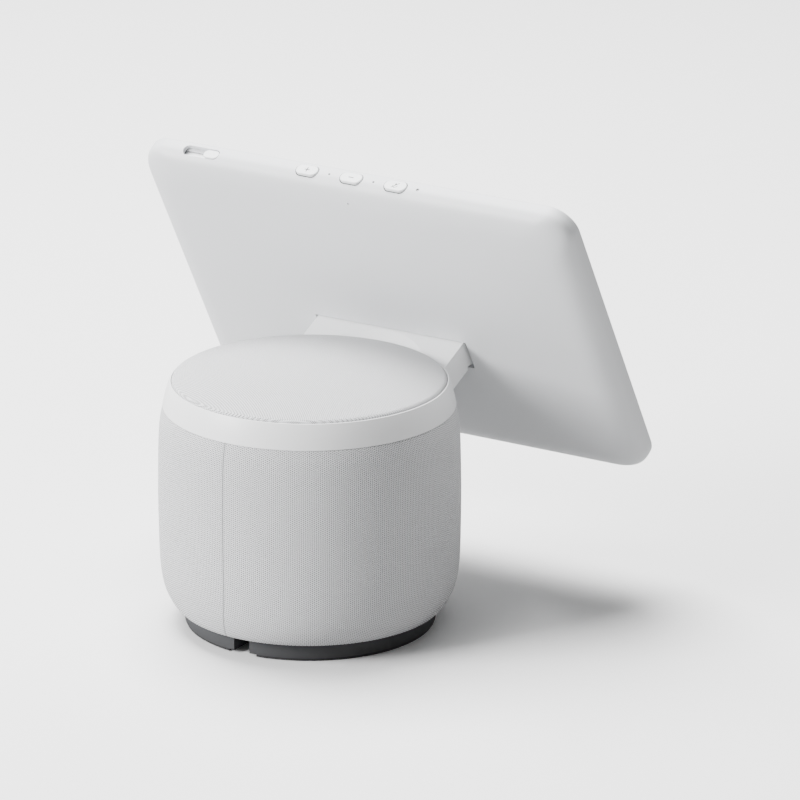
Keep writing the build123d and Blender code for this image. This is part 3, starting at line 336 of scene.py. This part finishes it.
def board_material():
    """Solder mask with darker tracks under it."""
    n = Nodes("circuit_board_green")
    coords, _, _, _ = n.object_xyz()
    tracks = n.add("ShaderNodeTexVoronoi", distance="MANHATTAN", feature="F1")
    n.put(coords, tracks.inputs["Vector"])
    tracks.inputs["Scale"].default_value = 330.0
    lines = n.scaled(tracks.outputs["Distance"], 0.30, 0.42, 0.0, 1.0)
    n.set(color=n.mix(lines, (0.012, 0.10, 0.045), (0.022, 0.16, 0.075)), rough=0.38, coat=0.25)
    n.bump(lines, 0.00003)
    return n.mat


def glass_material():
    """Clear glass with an anti-reflection coating, so that lamps show in it only faintly."""
    n = Nodes("cover_glass_clear")
    coords, _, _, _ = n.object_xyz()
    smear = n.noise(coords, 30.0, 3.0)
    n.set(color=(0.96, 0.97, 0.98), rough=n.scaled(smear, 0.3, 0.7, 0.03, 0.07),
          transmission=1.0, ior=1.5, specular=0.1)
    return n.mat


def lens_material():
    n = Nodes("camera_lens_coated")
    coords, _, _, _ = n.object_xyz()
    tint = n.noise(coords, 700.0, 1.0)
    n.set(color=n.mix(tint, (0.01, 0.012, 0.03), (0.03, 0.015, 0.05)), rough=0.05, coat=1.0, coat_rough=0.02)
    return n.mat


def light_pipe_material():
    n = Nodes("frosted_light_pipe")
    coords, _, _, _ = n.object_xyz()
    cloud = n.noise(coords, 900.0, 2.0)
    n.set(color=n.mix(cloud, (0.10, 0.10, 0.105), (0.16, 0.16, 0.165)), rough=0.3)
    return n.mat


board_mat, glass_mat = board_material(), glass_material()
lens_mat, pipe_mat = lens_material(), light_pipe_material()

NODE_MATERIALS = {
    foot_mat: ["base_plate"],
    pad_mat: ["foot_pad"],
    screw_mat: ["foot_screws", "deck_screws", "collar_screws", "head_screws", "screen_screws"],
    iron_mat: ["ballast_plate"],
    socket_mat: ["power_socket", "tweeter_left", "tweeter_right", "flex_cassette", "camera_module"],
    inner_mat: ["lower_chassis", "speaker_enclosure", "top_deck", "grille_shell", "turntable", "top_cap"],
    steel_mat: ["woofer_basket", "motor_stator", "motor_rotor", "friction_clips", "hinge_brackets"],
    cone_mat: ["woofer_cone", "tweeter_domes"],
    roll_mat: ["woofer_surround"],
    ferrite_mat: ["woofer_magnet"],
    board_mat: ["power_board", "main_board", "button_board"],
    alloy_mat: ["heat_sink", "arm_frame", "mid_frame", "heat_spreader", "microphones"],
    brass_mat: ["board_standoffs"],
    bright_mat: ["bearing_lower_race", "bearing_balls", "bearing_upper_race", "tilt_shaft"],
    film_mat: ["spiral_flex", "arm_cable"],
    acetal_mat: ["motor_pinion", "ball_cage", "drive_gear"],
    collar_mat: ["collar_cover"],
    shell_mat: ["arm_lower_cover", "rear_housing"],
    button_mat: ["volume_up_button", "volume_down_button", "mic_off_button", "camera_shutter"],
    lcd_mat: ["lcd_panel"],
    bezel_mat: ["bezel_mask"],
    glass_mat: ["cover_glass"],
    pipe_mat: ["status_light"],
    lens_mat: ["camera_lens"],
    side_knit: ["side_fabric"],
    top_knit: ["top_fabric"],
}
for material, names in NODE_MATERIALS.items():
    for node_name in names:
        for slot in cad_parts[node_name].material_slots:
            slot.material = material


# ---------------------------------------------------------------- fabric skins
def make_side_skin():
    """The knitted sleeve: its outer face, the hem turned under at the foot and the thin inner face."""
    outer = smooth_curve(WALL, 6)
    hem = [(63.9, 9.8), (65.8, 9.55), (66.9, 9.58)]
    lip = [(73.05, 113.25), (72.7, 113.3), (72.35, 113.1)]
    inner = [(r - 0.85, z) for r, z in WALL[::-1][1:-1]] + [(66.4, 10.4), (64.0, 10.4)]
    skin = lathe("side_fabric_skin", hem + outer + lip + inner, "base", steps=360, closed=True,
                 replaces=["side_fabric"], material=side_knit, slot="fabric_pale")


def make_top_skin():
    """The crowned top's fabric: a shallow dome that rolls down over its edge."""
    shoulder, proud = 2.2, 0.9  # the roll's radius, and how far the edge stands above the CAD one
    radius = (DOME_R ** 2 + DOME_RISE ** 2) / (2 * DOME_RISE)
    low = DOME_EDGE + proud + DOME_RISE - radius
    reach = DOME_R - shoulder
    middle = low + sqrt((radius - shoulder) ** 2 - reach ** 2)
    end = atan2(reach, middle - low)

    def profile(inset):
        bottom = [(DOME_R - inset, 122.45), (DOME_R - inset, 122.45 + (middle - 122.45) * 0.6)]
        roll = shoulder - inset
        turns = [pi / 2 + (end - pi / 2) * t / 10 for t in range(11)]
        arc = [(reach + roll * sin(turn), middle + roll * cos(turn)) for turn in turns]
        leans = [end * (1 - t / 24) for t in range(1, 25)]
        crown = [((radius - inset) * sin(lean), low + (radius - inset) * cos(lean)) for lean in leans]
        return bottom + arc + crown

    outer, inner = profile(0.0), profile(0.78)
    top = lathe("top_fabric_skin", inner[:-1][::-1] + outer, "head", steps=256, tip=True)
    bm = bmesh.new()
    bm.from_mesh(top.data)
    bmesh.ops.contextual_create(bm, geom=[e for e in bm.edges if e.is_boundary])
    bmesh.ops.recalc_face_normals(bm, faces=bm.faces)
    bm.to_mesh(top.data)
    bm.free()
    finish_piece(top, None, ["top_fabric"], top_knit)


make_side_skin()
make_top_skin()


# ---------------------------------------------------------------- the screen's rounded back
def back_depth(s):
    """The back surface's z in the screen's frame, against the distance in from the outline."""
    t, c = min(s / 15.0, 1.0), min(s / 80.0, 1.0)
    return 9.0 - 9.6 * (1 - (1 - t) ** 2.3) ** (1 / 2.3) - 3.6 * (1 - (1 - c) ** 2)


def box_mesh(bm, x0, x1, y0, y1, z0, z1, radius=0.0):
    """A box, or with a radius a box whose corners in x and y are round, added to bm."""
    outline = rounded_outline(x1 - x0, y1 - y0, max(radius, 0.01), 8 if radius else 1, (1, 1))
    cx, cy = (x0 + x1) / 2, (y0 + y1) / 2
    rows = [[bm.verts.new((cx + x, cy + y, z)) for x, y in outline] for z in (z0, z1)]
    count = len(outline)
    for k in range(count):
        j = (k + 1) % count
        bm.faces.new((rows[0][k], rows[0][j], rows[1][j], rows[1][k]))
    bm.faces.new(rows[0][::-1])
    bm.faces.new(rows[1])
    return rows[0] + rows[1]


def upright(verts, x, z):
    """Turns a tool drawn along its own z so that it points down from the screen's top edge."""
    turn = Matrix.Translation((x, SCREEN_H / 2, z)) @ Matrix.Rotation(radians(90), 4, "X")
    for v in verts:
        v.co = turn @ v.co


def tool_object(name, build):
    bm = bmesh.new()
    build(bm)
    bmesh.ops.recalc_face_normals(bm, faces=bm.faces)
    mesh = bpy.data.meshes.new(name)
    bm.to_mesh(mesh)
    bm.free()
    obj = bpy.data.objects.new(name, mesh)
    bpy.context.scene.collection.objects.link(obj)
    return obj


def apply_boolean(obj, tool, operation):
    mod = obj.modifiers.new("cut", "BOOLEAN")
    mod.operation, mod.object, mod.solver = operation, tool, "EXACT"
    bpy.context.view_layer.update()
    mesh = bpy.data.meshes.new_from_object(obj.evaluated_get(bpy.context.evaluated_depsgraph_get()))
    obj.modifiers.clear()
    obj.data = mesh
    bpy.data.objects.remove(tool, do_unlink=True)


def make_rear_shell():
    skin = 2.0
    insets = [0.0, 0.12, 0.35, 0.7, 1.15, 1.7, 2.4, 3.2, 4.2, 5.4, 6.8, 8.4, 10.2, 12.4, 15.0, 18.0, 22.0,
              27.0, 33.0, 40.0, 48.0, 57.0, 66.0, 75.0, 83.0]

    def ring_at(s, z, shrink=0.0):
        outline = rounded_outline(SCREEN_W - 2 * (s + shrink), SCREEN_H - 2 * (s + shrink),
                                  max(CORNER - shrink + 0.25 * s, 1.0))
        return [(x, y, z) for x, y in outline]

    rings = [ring_at(s, back_depth(s) + skin, skin) for s in insets[::-1] if s < 80]
    rings += [ring_at(0.0, 11.5, skin), ring_at(1.12, 11.5), ring_at(1.12, 12.95),
              ring_at(0.95, 13.15), ring_at(0.7, SCREEN_T), ring_at(0.45, 13.14), ring_at(0.18, 12.9),
              ring_at(0.02, 12.5), ring_at(0.0, 12.0), ring_at(0.0, 10.4)]
    rings += [ring_at(s, back_depth(s)) for s in insets]
    count = len(rings[0])
    verts = [p for row in rings for p in row]
    faces = [tuple(range(count))]
    for i in range(len(rings) - 1):
        for k in range(count):
            j = (k + 1) % count
            faces.append((i * count + k, (i + 1) * count + k, (i + 1) * count + j, i * count + j))
    last = (len(rings) - 1) * count
    faces.append(tuple(last + k for k in range(count))[::-1])
    mesh = bpy.data.meshes.new("rear_shell")
    mesh.from_pydata(verts, [], faces)
    mesh.update()
    shell = bpy.data.objects.new("rear_shell", mesh)
    bpy.context.scene.collection.objects.link(shell)
    bm = bmesh.new()
    bm.from_mesh(mesh)
    bmesh.ops.recalc_face_normals(bm, faces=bm.faces)
    bm.to_mesh(mesh)
    bm.free()

    x0, x1, y0, y1 = POCKET
    tub = tool_object("tub", lambda bm: box_mesh(bm, x0 - 1.5, x1 + 1.5, y0 - 2.4, y1 + 2.4,
                                                 -3.0, 7.85, 1.5))
    apply_boolean(shell, tub, "UNION")

    def stadium(width, height, depth, x, z):
        return lambda bm: upright(box_mesh(bm, -width / 2, width / 2, -height / 2, height / 2, -2.0, depth,
                                           height * 0.497), x, z)

    tools = [lambda bm: box_mesh(bm, x0, x1, y0, y1, -20.0, 6.7, 0.6), stadium(*SLOT[2:], 5.0, *SLOT[:2]),
             lambda bm: box_mesh(bm, -0.5, 0.5, 79.0, 80.0, -10.0, 4.0, 0.49)]
    tools += [stadium(13.5, 7.2, 5.0, x, BUTTON_Z - 0.1) for x in BUTTONS]
    tools += [stadium(2 * r, 2 * r, 6.0, x, BUTTON_Z) for x, r in PINHOLES]
    for tool in tools:
        apply_boolean(shell, tool_object("cutter", tool), "DIFFERENCE")
    shell.data.transform(SCREEN_TO_ROW @ Matrix.Scale(MM, 4))
    shell.data.polygons.foreach_set("use_smooth", [True] * len(shell.data.polygons))
    shell.data.set_sharp_from_angle(angle=radians(34))
    finish_piece(shell, "screen", ["rear_housing"], shell_mat)
    return shell


make_rear_shell()


# ---------------------------------------------------------------- button symbols
def make_symbols():
    """Fine printed marks on the three buttons: more, less and microphone off."""
    top = SCREEN_H / 2 + 0.45

    def stroke(bm, x0, z0, x1, z1, width=0.5):
        """A thin bar from (x0, z0) to (x1, z1), drawn in x and z."""
        length = hypot(x1 - x0, z1 - z0)
        bar = box_mesh(bm, -length / 2, length / 2, -width / 2, width / 2, -0.015, 0.02, width * 0.49)
        middle = Matrix.Translation(((x0 + x1) / 2, top, (z0 + z1) / 2))
        lean = Matrix.Rotation(-atan2(z1 - z0, x1 - x0), 4, "Z")
        turn = middle @ Matrix.Rotation(radians(-90), 4, "X") @ lean
        for v in bar:
            v.co = turn @ v.co

    def more(bm):
        stroke(bm, 24.5, BUTTON_Z, 27.5, BUTTON_Z)
        stroke(bm, 26.0, BUTTON_Z - 1.5, 26.0, BUTTON_Z + 1.5)

    def less(bm):
        stroke(bm, -1.5, BUTTON_Z, 1.5, BUTTON_Z)

    def microphone_off(bm):
        x, z = BUTTONS[0], BUTTON_Z
        angles = [radians(180 * i / 8) for i in range(9)]
        cradle = [(x + 1.3 * cos(a), z - 0.1 - 1.3 * sin(a)) for a in angles]
        for (xa, za), (xb, zb) in zip(cradle, cradle[1:]):
            stroke(bm, xa, za, xb, zb, 0.3)
        stroke(bm, x, z - 0.1, x, z + 1.3, 0.75)
        stroke(bm, x, z - 1.4, x, z - 1.9, 0.3)
        stroke(bm, x - 1.7, z + 1.7, x + 1.7, z - 1.7, 0.36)

    for name, draw, body in (("symbol_more", more, "volume_up"), ("symbol_less", less, "volume_down"),
                             ("symbol_microphone_off", microphone_off, "mic_off")):
        obj = tool_object(name, draw)
        obj.data.transform(SCREEN_TO_ROW @ Matrix.Scale(MM, 4))
        finish_piece(obj, body, (), glyph_mat)


make_symbols()


# ---------------------------------------------------------------- inside the openings of the top edge
def place_on_screen(name, draw, body, material):
    obj = tool_object(name, draw)
    obj.data.transform(SCREEN_TO_ROW @ Matrix.Scale(MM, 4))
    finish_piece(obj, body, (), material)


def upright_box(x0, x1, y0, y1, z0, z1):
    return lambda bm: box_mesh(bm, x0, x1, y0, y1, z0, z1)


def make_opening_parts():
    """The slot's ledges, the band that slides under the knob, and a near-black plate just inside each
    pinhole: painted shade for the dark of the hole.
    """
    x0, x1 = SLOT[0] - SLOT[2] / 2 - 0.8, SLOT[0] + SLOT[2] / 2 + 0.8
    for name, z0, z1 in (("slot_ledge_back", 4.2, 6.2), ("slot_ledge_front", 9.0, 11.0)):
        ledge = upright_box(x0, x1, 86.0, 86.55, z0, z1)
        place_on_screen(name, ledge, "screen", shell_mat)
    band = upright_box(x0 - SHUTTER_TRAVEL, x1 - 0.6, 85.3, 85.6, 6.1, 9.1)
    place_on_screen("slot_band", band, "shutter", button_mat)
    # a near-black plate about 1 mm inside each pinhole: painted shade for the hole's dark depth
    for i, (x, r) in enumerate(PINHOLES):
        half = r + 0.2
        mesh = upright_box(x - half, x + half, 87.9, 88.2, BUTTON_Z - half, BUTTON_Z + half)
        place_on_screen(f"pinhole_shade_plate_{i}", mesh, "screen", pinhole_shade_mat)
    # the same painted shade plate inside the small hole in the back
    mesh = upright_box(-0.8, 0.8, 78.7, 80.3, 1.2, 1.5)
    place_on_screen("pinhole_shade_plate_back", mesh, "screen", pinhole_shade_mat)


make_opening_parts()


# ---------------------------------------------------------------- camera, floor and lights
def set_stage():
    a, e = radians(212.60), radians(18.81)
    towards = Vector((sin(a) * cos(e), -cos(a) * cos(e), sin(e)))
    right = Vector((cos(a), sin(a), 0.0))
    up = right.cross(-towards)
    target = Vector((0.0, -0.020, 0.100))
    camera = bpy.data.objects.new("camera", bpy.data.cameras.new("camera"))
    camera.data.lens = 284.5
    camera.data.sensor_width = 36.0
    camera.data.clip_end = 50.0
    camera.location = target + towards * 3.1705
    aim = target + right * 0.0346 + up * 0.0087
    camera.rotation_euler = (aim - camera.location).to_track_quat("-Z", "Y").to_euler()
    bpy.context.scene.collection.objects.link(camera)
    bpy.context.scene.camera = camera

    floor_mat = Nodes("pale_floor")
    coords, _, _, _ = floor_mat.object_xyz()
    pale = floor_mat.mix(floor_mat.noise(coords, 3.0), (0.92, 0.92, 0.92), (0.94, 0.94, 0.94))
    seen = floor_mat.add("ShaderNodeLightPath").outputs["Is Camera Ray"]
    floor_mat.set(color=floor_mat.mix(seen, (0.42, 0.42, 0.42), pale), rough=0.9, specular=0.0)
    size = 9.0
    floor = make("floor", [(-size, -size, 0), (size, -size, 0), (size, size, 0), (-size, size, 0)],
                 [(0, 1, 2, 3)], None, material=floor_mat.mat, smooth=False)
    floor.location.z = -0.0002

    world = bpy.data.worlds.new("studio")
    world.use_nodes = True
    world.node_tree.nodes["Background"].inputs[0].default_value = (1.0, 1.0, 1.0, 1.0)
    world.node_tree.nodes["Background"].inputs[1].default_value = 0.29
    bpy.context.scene.world = world

    def area(name, place, power, width, height):
        light = bpy.data.lights.new(name, "AREA")
        light.shape, light.size, light.size_y = "RECTANGLE", width, height
        light.energy = power
        obj = bpy.data.objects.new(name, light)
        obj.location = place
        obj.rotation_euler = (Vector((0, 0, 0.12)) - Vector(place)).to_track_quat("-Z", "Y").to_euler()
        bpy.context.scene.collection.objects.link(obj)

    left, back = -right, towards
    area("key", left * 2.4 + Vector((0, 0, 0.9)) + back * 0.9, 170.0, 1.3, 1.3)
    area("top", Vector((0, 0, 2.3)) + left * 0.3 - back * 0.7, 170.0, 1.4, 1.4)


set_stage()
